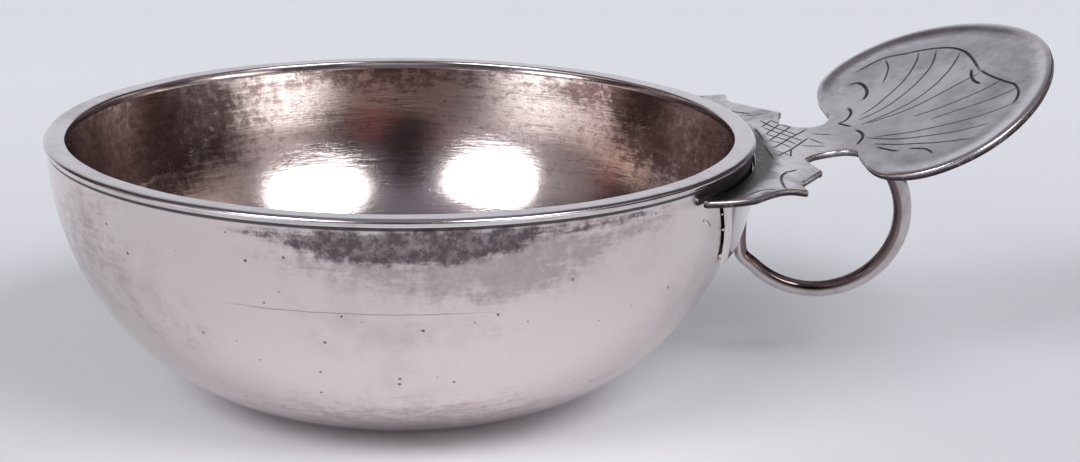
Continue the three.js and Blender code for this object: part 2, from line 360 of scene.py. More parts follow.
def inset(loop, distance):
    """A closed loop moved inwards; the loop runs counter-clockwise."""
    before = np.roll(loop, 1, axis=0)
    after = np.roll(loop, -1, axis=0)
    a = loop - before
    b = after - loop
    a /= np.linalg.norm(a, axis=1)[:, None]
    b /= np.linalg.norm(b, axis=1)[:, None]
    normal = np.stack([-(a[:, 1] + b[:, 1]), a[:, 0] + b[:, 0]], axis=1)
    normal /= np.maximum(np.linalg.norm(normal, axis=1), 1e-6)[:, None]
    square = np.stack([-a[:, 1], a[:, 0]], axis=1)
    mitre = np.clip((normal * square).sum(axis=1), 0.55, 1)
    return loop + normal * (distance / mitre)[:, None]


def wing_rise(side):
    """How far a wing stands above the middle of the plate."""
    return WING_RISE * (side / WING_EDGE[1]) ** 2


def on_plate(out, side, lift):
    """Points (out, side) of the flat sheet, lift above its top face, on the bent and leaning handle."""
    out, side, lift = np.broadcast_arrays(np.asarray(out, float), side, lift)
    length = BEND[1] - BEND[0]
    radius = length / DISC_TILT
    slope = np.clip(out - BEND[0], 0, length) / radius
    past = np.maximum(0, out - BEND[1])
    run = np.minimum(out, BEND[0]) + radius * np.sin(slope) + past * math.cos(DISC_TILT)
    climb = radius * (1 - np.cos(slope)) + past * math.sin(DISC_TILT)
    lean = LEAN[0] + (LEAN[1] - LEAN[0]) * smoothstep(out, *LEAN_SPAN)
    above = side * np.sin(lean) + lift * np.cos(lean)
    rise = wing_rise(side) * (1 - smoothstep(out, 0, WING_RISE_END))
    return np.stack([
        STRIP_OUTER + run - above * np.sin(slope),
        side * np.cos(lean) - lift * np.sin(lean),
        HEIGHT - PLATE_DROP + rise + climb + above * np.cos(slope),
    ], axis=-1)


# Engraved strokes on the flat sheet, in millimetres: half width, depth, then the control points as out,
# side, out, side and so on. The far wing has mirror images of the near wing's first three.
ENGRAVING = (
    # edge of the shell
    (0.2, 0.12, 22.8, 16.3, 25.2, 16.7, 27.6, 16.5, 30.6, 14.8, 33.1, 13.3, 35.9, 10.8, 37.3, 7.8, 37.5,
     4.6, 37, -0.1),
    (0.18, 0.11, 37, -0.1, 37.6, -3.1, 38.5, -6.2, 39.3, -8.4, 39, -10.8, 38, -12.5, 37.1, -13.4),
    # scrolls round the shell's foot
    (0.22, 0.16, 36.1, 1.1, 35.4, -0.7, 35.2, -2.3, 35.5, -3.8),
    (0.24, 0.16, 20.6, 13.5, 21.6, 12.9, 22, 11.4, 21.9, 9.7, 21.4, 8.3, 20.5, 7.4),
    (0.2, 0.14, 17.9, 6.9, 17.8, 5.5, 17.2, 4.4, 16.2, 3.7, 15, 3.6),
    (0.17, 0.12, 15, 3.6, 15.7, 2.4, 16.2, 1.4),
    (0.2, 0.13, 16.6, -0.4, 16.9, -1.8, 16.7, -3.2, 15.4, -4.6),
    # ribs of the shell
    (0.1, 0.06, 27.3, 15.6, 26.8, 13.2, 25.7, 11.1, 24.8, 9.8),
    (0.1, 0.06, 31.9, 13.1, 30.9, 11.3, 29.2, 9.2, 27.4, 7.4, 25.3, 6, 23.2, 4.8, 21.1, 3.7, 18.9, 3.1),
    (0.1, 0.06, 34.3, 11.5, 32.8, 8.9, 31.1, 6.9, 28.4, 4.8, 25.6, 3.3, 22.8, 2.2, 20.5, 1.9, 18.1, 2),
    (0.1, 0.06, 36.7, 7.5, 34.2, 4.7, 32.1, 3, 29.9, 1.6, 26.7, 0.4, 23.5, 0, 20.1, 0.1, 17.8, 0.4),
    (0.1, 0.06, 36.4, -0.9, 33.1, -1.1, 29.8, -1.4, 25.9, -1.5, 23.2, -1.2, 21.1, -0.7, 18.9, -0.2),
    (0.1, 0.06, 38, -5.7, 35.4, -5.9, 32.9, -5.8, 30.3, -5.5, 27.6, -5, 24.7, -4.1),
    (0.1, 0.06, 39.2, -9.6, 37.4, -9.7, 34.7, -9.3, 32, -8.7, 29.4, -8, 26.8, -7.2),
    (0.1, 0.06, 36.6, -13.4, 34.1, -13, 31.4, -12.2, 28.9, -11.3, 26.6, -10.2, 24.4, -9, 22.2, -7.7,
     20.1, -6.2, 18.2, -4.9),
    (0.1, 0.06, 32.2, -15.6, 30.3, -14.8, 27.9, -13.7, 25.7, -12.4, 23.8, -11, 21.6, -9.2, 19.4, -7,
     17.2, -4.2),
    (0.1, 0.06, 28.7, -17.3, 27, -16.1, 25.4, -14.9, 23.8, -13.6, 22.4, -12.2, 20, -9.7, 17.5, -6.8),
    # short strokes at the disc's near edge
    (0.14, 0.08, 20.9, -12.4, 21.9, -13.6, 22.7, -14.7, 23, -16.4),
    (0.14, 0.08, 17.4, -7.9, 18.2, -9.5, 18.8, -10.8, 19.3, -11.4),
    # crossed lines between the wings
    (0.11, 0.07, 4.1, 7.7, 5.9, 9.9),
    (0.11, 0.07, 3.8, 3.9, 5.3, 5.9, 6.9, 8),
    (0.11, 0.07, 3.5, 0.5, 5.1, 2.6, 6.6, 4.4, 8, 6.1),
    (0.11, 0.07, 3.1, -3.6, 4.6, -1.6, 6.4, 0.8, 8.1, 2.6, 9.8, 4.2),
    (0.11, 0.07, 3, -7.8, 4.3, -5.9, 5.7, -4.1, 7.5, -1.6, 9.5, 1),
    (0.11, 0.07, 4.8, -7.7, 5.7, -4.1),
    (0.11, 0.07, 6, 10, 6.7, 8.4, 7.4, 6.9, 8, 5.8),
    (0.11, 0.07, 4.5, 10.4, 5, 8.6, 5.6, 7, 6.3, 5.6, 7.4, 3.7, 8.1, 2.6),
    (0.11, 0.07, 4.3, 7.1, 4.8, 5.7, 5.5, 4.3, 6.3, 3, 7.3, 1.4, 8.4, 0),
    (0.11, 0.07, 3.8, 3.9, 4.4, 2.8, 5.4, 1.4, 6.3, 0, 7.1, -1.6),
    (0.11, 0.07, 3.5, 0.6, 4.2, -0.1, 4.9, -1, 5.9, -3.1),
    (0.11, 0.07, 2.7, -5, 3.5, -5.5, 4.1, -6.2, 4.7, -7.4),
    # arcs and strokes beside them
    (0.17, 0.1, 2.9, 7.2, 2.8, 4, 2.6, 0.6),
    (0.17, 0.1, 2.1, -2.2, 1.9, -5.1, 1.8, -7.7, 1.6, -10.2),
    (0.12, 0.07, 3, 14.3, 4.3, 13.6, 5.7, 13.4),
    # strokes on the neck
    (0.11, 0.07, 10.8, 2.3, 12.8, 1),
    (0.11, 0.07, 9.7, 0.7, 10.8, -1.4),
    (0.11, 0.07, 7.8, -2.2, 11, -2.7),
    # near wing
    (0.17, 0.11, 2.2, -16.5, 0.6, -19.9, -0.3, -22.9, -0.8, -26.1, -1, -28.5),
    (0.15, 0.1, 2.2, -16.8, 3.9, -14.7),
    (0.14, 0.08, -7.3, -32, -5.5, -30.1, -3.8, -28.8, -1.8, -29.6),
    (0.12, 0.07, -6.4, -33.2, -4.7, -31.5, -3.5, -30.4),
)


def smooth_stroke(points, step=0.4):
    """A Catmull-Rom curve through control points, at even steps."""
    points = np.asarray(points, float)
    ends = np.vstack([2 * points[0] - points[1], points, 2 * points[-1] - points[-2]])
    fine = [points[0]]
    for i in range(1, len(ends) - 2):
        p0, p1, p2, p3 = ends[i - 1:i + 3]
        for t in np.linspace(0, 1, 13)[1:]:
            fine.append(0.5 * (2 * p1 + (p2 - p0) * t + (2 * p0 - 5 * p1 + 4 * p2 - p3) * t ** 2
                               + (3 * p1 - p0 - 3 * p2 + p3) * t ** 3))
    return resample(fine, step)


def engraved_strokes():
    """(half width, depth, path) of every stroke."""
    strokes = []
    for width, depth, *control in ENGRAVING:
        strokes.append((width, depth, smooth_stroke(np.reshape(control, (-1, 2)))))
    return strokes + [(width, depth, path * (1, -1)) for width, depth, path in strokes[-4:-1]]


def segment_distance(points, path):
    """Distance from each point to a polyline, and how far along it the nearest place is, from 0 to 1."""
    best = np.full(len(points), 1e9)
    share = np.zeros(len(points))
    total = len(path) - 1
    for i in range(total):
        a = path[i]
        ab = path[i + 1] - a
        t = np.clip(((points - a) @ ab) / (ab @ ab), 0, 1)
        distance = np.linalg.norm(points - a - t[:, None] * ab, axis=1)
        closer = distance < best
        best[closer] = distance[closer]
        share[closer] = (i + t[closer]) / total
    return best, share


def inside_loop(points, loop):
    """True where a point lies inside a closed loop."""
    x, y = points[:, 0], points[:, 1]
    inside = np.zeros(len(points), bool)
    for a, b in zip(loop, np.roll(loop, -1, axis=0)):
        crosses = (a[1] > y) != (b[1] > y)
        if crosses.any():
            at = (b[0] - a[0]) * (y - a[1]) / (b[1] - a[1] if b[1] != a[1] else 1e-12) + a[0]
            inside ^= crosses & (x < at)
    return inside


def loop_distance(points, loop):
    """Distance from each point to a closed loop."""
    return segment_distance(points, np.vstack([loop, loop[:1]]))[0]


def triangulate(loop, lines, spacing):
    """Points and triangles that fill a loop, with the lines as edges and a grid of points between."""
    low = loop.min(axis=0)
    high = loop.max(axis=0)
    columns = np.arange(low[0], high[0], spacing)
    rows = np.arange(low[1], high[1], spacing * 0.87)
    grid = []
    for k, row in enumerate(rows):
        shift = spacing / 2 if k % 2 else 0
        for column in columns:
            grid.append((column + shift, row))
    grid = np.array(grid)
    grid = grid[inside_loop(grid, loop)]
    clear = loop_distance(grid, loop) > spacing * 0.6
    for line in lines:
        clear &= segment_distance(grid, line)[0] > spacing * 0.45
    grid = grid[clear]
    points = [loop]
    edges = [(i, (i + 1) % len(loop)) for i in range(len(loop))]
    start = len(loop)
    for line in lines:
        points.append(line)
        edges += [(start + i, start + i + 1) for i in range(len(line) - 1)]
        start += len(line)
    points = np.vstack(points + [grid])
    result = delaunay_2d_cdt([Vector(p) for p in points], edges, [], 0, 1e-4, False)
    points = np.array([tuple(v) for v in result[0]])
    faces = np.array([tuple(face) for face in result[2]])
    faces = faces[inside_loop(points[faces].mean(axis=1), loop)]
    used, faces = np.unique(faces, return_inverse=True)
    return points[used], [tuple(int(i) for i in face) for face in faces.reshape(-1, 3)]


def boundary_of(faces):
    """The outer edges of a triangulation as one counter-clockwise loop of point indices."""
    edges = set()
    for face in faces:
        for a, b in zip(face, face[1:] + face[:1]):
            if (b, a) in edges:
                edges.remove((b, a))
            else:
                edges.add((a, b))
    following = dict(edges)
    start = next(iter(sorted(following)))
    loop = [start]
    while following[loop[-1]] != start:
        loop.append(following[loop[-1]])
    return loop


def left_of(line):
    """Unit vectors to the left of a line at its points."""
    along = np.gradient(line, axis=0)
    along /= np.linalg.norm(along, axis=1)[:, None]
    return np.stack([-along[:, 1], along[:, 0]], axis=1)


def nearest(points, others):
    """For each point, the index of the nearest of the others."""
    return np.argmin(((points[:, None] - others[None]) ** 2).sum(axis=2), axis=1)


def plate_outline():
    """The sheet's whole outline as an even, counter-clockwise loop."""
    half = np.array(wing_edge() + disc_edge()[1:])
    full = resample(np.vstack([half, half[-2:0:-1] * (1, -1)]), 0.4, closed=True)
    area = (full[:, 0] * np.roll(full[:, 1], -1) - np.roll(full[:, 0], -1) * full[:, 1]).sum()
    return full if area > 0 else full[::-1]


def plate_lines(full, disc, strokes):
    """Lines that the triangles of the top face follow: along each stroke, and along the disc's border."""
    safe = EDGE_ROUND + 0.25
    shoulder = 0.09
    lines = []
    for width, _, path in strokes:
        for aside in (-width - shoulder, -width, 0, width, width + shoulder):
            line = path + left_of(path) * aside
            good = np.flatnonzero(inside_loop(line, full) & (loop_distance(line, full) > safe))
            if len(good) > 2:
                lines.append(line[good[0]:good[-1] + 1])
    border = resample(disc, 0.5)
    for inward in (0.45, 0.8, 1.2, 1.7, 2.2, 2.8, 3.5):
        ring = resample(border - left_of(border) * inward, 0.6)
        ring = ring[inside_loop(ring, full)]
        if inward < 1:
            ring = ring[loop_distance(ring, full) > safe * 0.6]
        if len(ring) > 2:
            lines.append(ring)
    return lines


def plate_relief(top, full, disc, strokes):
    """Lift of the top face's points, how deep each lies in a stroke, and how high on the disc's border."""
    from_disc = segment_distance(top, disc)[0]
    front = smoothstep(top[:, 0], DISC_WIDEST - 4, DISC_WIDEST + 2)
    bordered = np.maximum(smoothstep(np.abs(top[:, 1]), 6.5, 10), front)
    bordered *= smoothstep(top[:, 0], 15.0, 17.5)
    crest = np.exp(-((from_disc - 0.8) / 0.8) ** 2)
    valley = np.exp(-((from_disc - 2.9) / 0.9) ** 2)
    rise = bordered * (BORDER_RISE * crest - 0.08 * valley)
    cut = np.zeros(len(top))
    groove = np.zeros(len(top))
    for width, depth, path in strokes:
        distance, share = segment_distance(top, path)
        taper = smoothstep(share, 0, 0.08) * smoothstep(1 - share, 0, 0.08)
        cut = np.maximum(cut, (0.35 + 0.65 * taper) * depth * np.clip(1 - distance / width, 0, 1))
        within = np.clip((width + 0.08 - distance) / 0.07, 0, 1)
        groove = np.maximum(groove, (0.5 + 0.5 * taper) * within)
    uneven = 0.05 * waves(np.column_stack([top, np.zeros(len(top))]), 31, 13, 3)
    fade = smoothstep(loop_distance(top, full), 0.2, 2.0)
    return rise - cut + uneven * fade, groove, bordered * crest


def edge_rings():
    """(inward, lift) of the rings between the two faces: a rounded arris, the side, another arris."""
    quarter = [math.radians(22.5 * i) for i in range(5)]
    rings = []
    for a in quarter[1:]:
        rings.append((EDGE_ROUND * (1 - math.sin(a)), -EDGE_ROUND * (1 - math.cos(a))))
    for a in quarter[:-1]:
        rings.append((EDGE_ROUND * (1 - math.cos(a)), EDGE_ROUND * (1 - math.sin(a)) - PLATE_THICKNESS))
    return rings


def handle_plate(material):
    """The sheet: an engraved top face, a worn edge and a plain underside, bent and leaning."""
    full = plate_outline()
    top_loop = inset(full, EDGE_ROUND)
    disc = disc_edge()
    disc = np.array(disc + [p * (1, -1) for p in disc[-2::-1]])
    strokes = engraved_strokes()
    top, faces = triangulate(top_loop, plate_lines(full, disc, strokes), 0.75)
    lift, groove, border = plate_relief(top, full, disc, strokes)
    to_wall = np.hypot(top[:, 0] + STRIP_OUTER, top[:, 1]) - MOUTH_RADIUS
    wings = (1 - smoothstep(top[:, 0], 7, 13)) * smoothstep(np.abs(top[:, 1]), 6, 12)
    # painted shade: dark on the top face within a few millimetres of the wall, where the rim shadows it;
    # lighter grime over the wings
    grime_and_shade = np.maximum(1.2 * (1 - smoothstep(to_wall, 1.2, 6.3)), 0.33 * wings)
    layers = [(on_plate(top[:, 0], top[:, 1], lift), groove, border, grime_and_shade)]

    # rings of the edge, each in the order of the top face's boundary
    previous = boundary_of(faces)
    base = top[previous]
    edge_lift = lift[previous]
    order = nearest(base, top_loop)
    start = len(top)
    count = len(base)
    plain = np.zeros(count)
    for inward, drop in edge_rings():
        ring = inset(full, inward)[order]
        near_top = 1 - min(1.0, -drop / PLATE_THICKNESS)
        places = on_plate(ring[:, 0], ring[:, 1], drop + edge_lift * near_top)
        worn = 0.6 * (1 - smoothstep(-drop, 0.08, 0.25))
        # the lower part of the side faces is darkened, a painted dark reflection
        layers.append((places, plain, plain + worn, plain + 1.1 * smoothstep(-drop, 0.15, 0.4)))
        current = list(range(start, start + count))
        faces += bridge(previous, current)
        previous = current
        start += count

    bottom, bottom_faces = triangulate(top_loop, [], 1.6)
    plain = np.zeros(len(bottom))
    layers.append((on_plate(bottom[:, 0], bottom[:, 1], -PLATE_THICKNESS), plain, plain, plain))
    faces += shifted(bottom_faces, start, flip=True)
    loop = np.array(boundary_of(bottom_faces))
    faces += bridge(previous, (start + loop[nearest(base, bottom[loop])]).tolist())
    points, groove, rim, grime_and_shade = (np.concatenate(column) for column in zip(*layers))
    attributes = {"groove": groove, "rim": rim, "grime_and_shade": grime_and_shade}
    add_piece("handle_plate", points, faces, material, "thumb_plate", 27, attributes)


# Saddle

def bead(radius):
    """A small closed ball."""
    rows = 7
    columns = 12
    points = [(0, 0, radius)]
    for r in range(1, rows):
        tilt = math.pi * r / rows
        level = radius * math.sin(tilt)
        for c in range(columns):
            turn = TURN * c / columns
            points.append((level * math.cos(turn), level * math.sin(turn), radius * math.cos(tilt)))
    points.append((0, 0, -radius))
    last = len(points) - 1
    faces = shifted(grid_faces(rows - 1, columns, close_columns=True, flip=True), 1)
    faces += fan(0, 1, columns) + fan(last, last - columns, columns, flip=True)
    return np.array(points), faces


# Beads of solder along the saddle's ends: across it from -1 to 1, up it from 0 to 1, and radius
BEADS = ((-1.015, 0.57, 0.19), (-1.02, 0.16, 0.22), (-1.01, 0.8, 0.15), (1.015, 0.3, 0.2), (1.01, 0.7, 0.16))


def wall_saddle(material):
    """The plate wrapped on the wall under the wings, with worn edges and beads of solder."""
    across = 120
    up = 26
    edge = 0.25
    half_length = 28.28
    length_up = 10.5
    foot = HEIGHT - SADDLE_FOOT_DROP
    arch = HEIGHT - SADDLE_ARCH_DROP
    top = PLATE_UNDER - 0.05

    def place(a, u, lift):
        angle = a * lerp(SADDLE_FOOT, SADDLE_TOP, u)
        lower = arch + (foot - arch) * a * a
        side = MOUTH_RADIUS * np.sin(angle)
        upper = top + side * math.tan(LEAN[0]) + wing_rise(side)
        height = lower + (upper - lower) * u
        radius = wall_radius(height) + lift
        return np.stack([radius * np.cos(angle), radius * np.sin(angle), height], axis=-1)

    a_grid, u_grid = np.meshgrid(np.linspace(-1, 1, across), np.linspace(0, 1, up))
    a_flat = a_grid.ravel()
    u_flat = u_grid.ravel()
    # the outer face falls off to a rounded arris at its ends and foot
    from_edge = np.minimum((1 - np.abs(a_flat)) * half_length, u_flat * length_up)
    inward = np.maximum(0, edge - from_edge)
    fall = edge - np.sqrt(edge ** 2 - inward ** 2)
    outer = place(a_flat, u_flat, GAP + SADDLE_THICKNESS - fall)
    points = np.vstack([outer, place(a_flat, u_flat, GAP)])
    faces = grid_faces(up, across)
    count = up * across
    faces += shifted(faces, count, flip=True)
    rim = list(range(across))
    rim += [r * across + across - 1 for r in range(1, up)]
    rim += [(up - 1) * across + c for c in range(across - 2, -1, -1)]
    rim += [r * across for r in range(up - 2, 0, -1)]
    faces += bridge(rim, [count + i for i in rim])
    for a, u, radius in BEADS:
        ball, ball_faces = bead(radius)
        faces += shifted(ball_faces, len(points))
        points = np.vstack([points, place(a, u, radius + 0.03) + ball])
    add_piece("wall_saddle", points, faces, material, "saddle_plate", 55)


# Finger ring

def ring_path():
    """Centre line of the wire as (x, height) in the ring's plane, from under the disc round to the wall."""
    centre = (STRIP_OUTER + RING_OUT, PLATE_UNDER - RING_DROP)
    control = arc(centre, RING_RADIUS, 80, RING_SIDE - 360 - 80, 17)
    for i in range(4):
        height = PLATE_UNDER - lerp(9, 0.5, i / 3)
        stand = 2 * GAP + SADDLE_THICKNESS + wire_radius(lerp(0.85, 1, i / 3))
        control.append((float(wall_radius(height)) + stand, height))
    return smooth_stroke(control, 0.35)


def wire_radius(share):
    return WIRE_FRONT + (WIRE_BACK - WIRE_FRONT) * share ** WIRE_TAPER


def from_plate(points):
    """(out, side, lift) of points in space near the handle plate, by Newton's method."""
    points = np.asarray(points, float)
    guess = np.stack([points[:, 0] - STRIP_OUTER, points[:, 1], np.zeros(len(points))], axis=1)
    step = 1e-4
    for _ in range(14):
        now = on_plate(guess[:, 0], guess[:, 1], guess[:, 2])
        slopes = []
        for k in range(3):
            moved = guess.copy()
            moved[:, k] += step
            slopes.append((on_plate(moved[:, 0], moved[:, 1], moved[:, 2]) - now) / step)
        change = np.linalg.solve(np.stack(slopes, axis=-1), (points - now)[:, :, None])[:, :, 0]
        guess = guess + np.clip(change, -4, 4)
    return guess


def wire_point(path, normal, at, angle, widen=1.0):
    """A point on the wire's surface; at is the length along the path, in steps of the path."""
    steps = np.arange(len(path))
    share = at / (len(path) - 1)
    radius = wire_radius(share) * widen
    centre = np.stack([np.interp(at, steps, path[:, k]) for k in (0, 1)], axis=-1)
    aside = np.stack([np.interp(at, steps, normal[:, k]) for k in (0, 1)], axis=-1)
    in_plane = centre + aside * (radius * np.cos(angle))[..., None]
    across = radius * np.sin(angle)
    pivot = STRIP_OUTER + 2 * GAP + SADDLE_THICKNESS
    out = in_plane[..., 0] - pivot
    below = PLATE_UNDER - in_plane[..., 1]
    side = across * math.cos(RING_LEAN) + below * math.sin(RING_LEAN)
    return np.stack([
        pivot + out * math.cos(RING_TURN) + side * math.sin(RING_TURN),
        side * math.cos(RING_TURN) - out * math.sin(RING_TURN),
        PLATE_UNDER - below * math.cos(RING_LEAN) + across * math.sin(RING_LEAN),
    ], axis=-1)


def finger_loop(material):
    """The wire, its front end let into the plate's underside with a small fillet of solder."""
    path = ring_path()
    normal = left_of(path)
    sides = 32
    angle = np.arange(sides) * TURN / sides
    # where each side of the wire meets the plate, found by halving
    seat = 0.35 - PLATE_THICKNESS
    low = np.zeros(sides)
    high = np.full(sides, 24.0)
    for _ in range(24):
        middle = (low + high) / 2
        above = from_plate(wire_point(path, normal, middle, angle))[:, 2] > seat
        low = np.where(above, middle, low)
        high = np.where(above, high, middle)
    start = (low + high) / 2
    joined = 40
    front_rows = 60
    rows = []
    for step in range(front_rows):
        at = start + (joined - start) * step / front_rows
        fillet = 0.42 * np.exp(-((at - start) * 0.35 / 0.75) ** 1.5)
        rows.append(wire_point(path, normal, at, angle, 1 + fillet))
    for step in range(joined, len(path)):
        rows.append(wire_point(path, normal, np.full(sides, float(step)), angle))
    points = np.vstack(rows)
    points += 0.02 * waves(points, 41, 7, 2)[:, None] * np.array((0.6, 1, 0.6))
    # the inner half of the wire, darkened in the material: tarnish and a painted dark reflection
    inner_tarnish_and_reflection = np.tile(smoothstep(-np.cos(angle), 0.0, 0.25), len(rows))
    faces = grid_faces(len(rows), sides, close_columns=True, flip=True)
    faces.append(tuple(range(sides)))
    faces.append(tuple(range(len(points) - 1, len(points) - sides - 1, -1)))
    add_piece("finger_loop", points, faces, material, "finger_ring", 50,
              {"inner_tarnish_and_reflection": inner_tarnish_and_reflection})


# Materials

class Tree:
    """Short calls for building a node tree."""

    def __init__(self, tree):
        self.nodes = tree.nodes
        self.links = tree.links

    def put(self, socket, value):
        if isinstance(value, bpy.types.NodeSocket):
            self.links.new(value, socket)
        elif socket.type == "RGBA":
            socket.default_value = (*value, 1)
        else:
            socket.default_value = value

    def node(self, kind, settings=None, **inputs):
        node = self.nodes.new(kind)
        for key, value in (settings or {}).items():
            setattr(node, key, value)
        for key, value in inputs.items():
            self.put(node.inputs[key.replace("_", " ")], value)
        return node

    def math(self, operation, a, b=0.0, clamp=False):
        node = self.node("ShaderNodeMath", {"operation": operation, "use_clamp": clamp})
        self.put(node.inputs[0], a)
        self.put(node.inputs[1], b)
        return node.outputs[0]

    def plus(self, *values):
        return reduce(lambda a, b: self.math("ADD", a, b), values)

    def minus(self, a, b):
        return self.math("SUBTRACT", a, b)

    def times(self, *values):
        return reduce(lambda a, b: self.math("MULTIPLY", a, b), values)

    def away(self, value, place=0.0):
        return self.math("ABSOLUTE", self.minus(value, place))

    def noise(self, vector, scale, detail, rough):
        node = self.node("ShaderNodeTexNoise", Vector=vector, Scale=scale, Detail=detail, Roughness=rough)
        return node.outputs["Fac"]

    def between(self, value, low, high, to_low=0.0, to_high=1.0):
        """A smooth step from to_low, where value is low, to to_high, where it is high."""
        node = self.node("ShaderNodeMapRange", {"interpolation_type": "SMOOTHSTEP"}, Value=value,
                         From_Min=low, From_Max=high, To_Min=to_low, To_Max=to_high)
        return node.outputs["Result"]

    def mix(self, factor, a, b, blend="MIX"):
        node = self.node("ShaderNodeMix", {"data_type": "RGBA", "blend_type": blend}, Factor=factor)
        self.put(node.inputs[6], a)
        self.put(node.inputs[7], b)
        return node.outputs[2]

    def moved(self, vector, scale=(1, 1, 1), turn=(0, 0, 0), place=(0, 0, 0)):
        node = self.node("ShaderNodeMapping", Vector=vector, Location=place, Rotation=turn, Scale=scale)
        return node.outputs["Vector"]

    def split(self, vector):
        return self.node("ShaderNodeSeparateXYZ", Vector=vector).outputs

    def attribute(self, name):
        return self.node("ShaderNodeAttribute", {"attribute_name": name}).outputs["Fac"]

    def azimuth_of(self, x, y):
        """Degrees round the axis, 0 at -Y and 90 at +X."""
        return self.times(self.math("ARCTAN2", x, self.times(y, -1.0)), 180 / math.pi)

    def spot(self, x, y, place, size, power=1):
        """1 at a place of two coordinates, falling off smoothly to nothing by its size."""
        parts = []
        for value, middle, half in zip((x, y), place, size):
            part = self.math("DIVIDE", self.minus(value, float(middle)), float(half))
            parts.append(self.math("POWER", part, 2.0))
        far = self.plus(*parts)
        if power != 1:
            far = self.math("POWER", far, power)
        return self.math("EXPONENT", self.times(far, -1.0))

    def output(self, kind, shader):
        self.put(self.node(kind).inputs["Surface"], shader.outputs[0])


def new_material(name):
    material = bpy.data.materials.new(name)
    material.use_nodes = True
    material.node_tree.nodes.clear()
    return material


DARK_PIT = (0.05, 0.042, 0.04)
SCRATCH = (0.35, 0.32, 0.31)
# dark oxide for scratches and engraved strokes, also used for painted shade in the crease under the strip,
# behind the plate, next to the wall and on the plate's side faces
OXIDE_AND_SHADE = (0.045, 0.034, 0.036)
BROWN = (0.10, 0.073, 0.085)
GREY_BROWN = (0.42, 0.345, 0.35)


class Silver(Tree):
    """Aged silver in layers over a mottled ground: tarnish clouds, speckle, scratches and pits."""

    def __init__(self, name, clean, tarnish, rough, amount, seed, pit_size=0.16):
        self.material = new_material(name)
        super().__init__(self.material.node_tree)
        coords = self.node("ShaderNodeTexCoord").outputs["Object"]
        self.x, self.y, self.z = (self.times(axis, 1000.0) for axis in self.split(coords))
        self.azimuth = self.azimuth_of(self.x, self.y)
        here = self.moved(coords, place=(seed * 0.37, seed * 0.11, seed * 0.23))
        clouds = self.noise(here, 48, 6, 0.6)
        self.mottle = self.noise(here, 210, 6, 0.68)
        self.grain = self.noise(here, 620, 6, 0.75)
        self.streaks = self.noise(self.moved(here, (1, 1, 9)), 150, 6, 0.7)
        speckle = self.noise(here, 900, 4, 0.6)
        ground = self.plus(self.times(clouds, 0.6), self.times(self.mottle, 0.4))
        self.colour = self.mix(self.between(ground, 0.47, 0.66, 0.0, amount), clean, tarnish)
        self.rough = self.between(ground, 0.35, 0.7, rough * 0.8, rough * 1.4)
        lines = []
        for turn in ((0.3, 0.9, 0.2), (1.2, 0.2, 0.9), (0.5, 2.1, 1.9), (2.2, 1.1, 0.4)):
            stretched = self.moved(here, (45, 5200, 5200), turn)
            lines.append(self.between(self.noise(stretched, 1.0, 2, 0.5), 0.68, 0.74))
        scratch = reduce(lambda a, b: self.math("MAXIMUM", a, b), lines)
        cells = self.node("ShaderNodeTexVoronoi", Vector=here, Scale=400.0)
        random = self.node("ShaderNodeSeparateColor", Color=cells.outputs["Color"]).outputs[0]
        inward = self.minus(self.times(random, pit_size), cells.outputs["Distance"])
        pit = self.between(inward, 0.0, 0.03)
        self.colour = self.mix(self.times(pit, 0.85), self.colour, DARK_PIT)
        self.colour = self.mix(self.times(scratch, 0.10), self.colour, SCRATCH)
        self.height = self.plus(self.times(speckle, 0.12), self.times(scratch, -0.3), self.times(pit, -1.0))

    def stain(self, mask, colour, rough=None):
        """Covers the surface with another colour, and roughness where given, by a mask."""
        self.colour = self.mix(mask, self.colour, colour)
        if rough is not None:
            self.rough = self.between(mask, 0.0, 1.0, self.rough, rough)

    def blotches(self, across, up, places):
        """A mottled, streaky mask round places of (across, up, half width, half height, strength)."""
        spots = []
        for a, b, wide, high, strength in places:
            spots.append(self.times(self.spot(across, up, (a, b), (wide, high)), strength))
        field = self.plus(*spots)
        uneven = self.plus(*(self.minus(noise, 0.5) for noise in (self.mottle, self.grain, self.streaks)))
        uneven = self.times(uneven, 1.7, self.between(field, 0.0, 0.6))
        mask = self.between(self.plus(field, uneven), 0.2, 1.0)
        return self.times(mask, self.between(self.grain, 0.36, 0.6, 0.68, 1.0))

    def done(self):
        bump = self.node("ShaderNodeBump", Strength=0.3, Distance=0.00002, Height=self.height)
        shader = self.node("ShaderNodeBsdfPrincipled", Metallic=1.0, Roughness=self.rough,
                           Base_Color=self.colour, Normal=bump.outputs["Normal"])
        self.output("ShaderNodeOutputMaterial", shader)
        return self.material


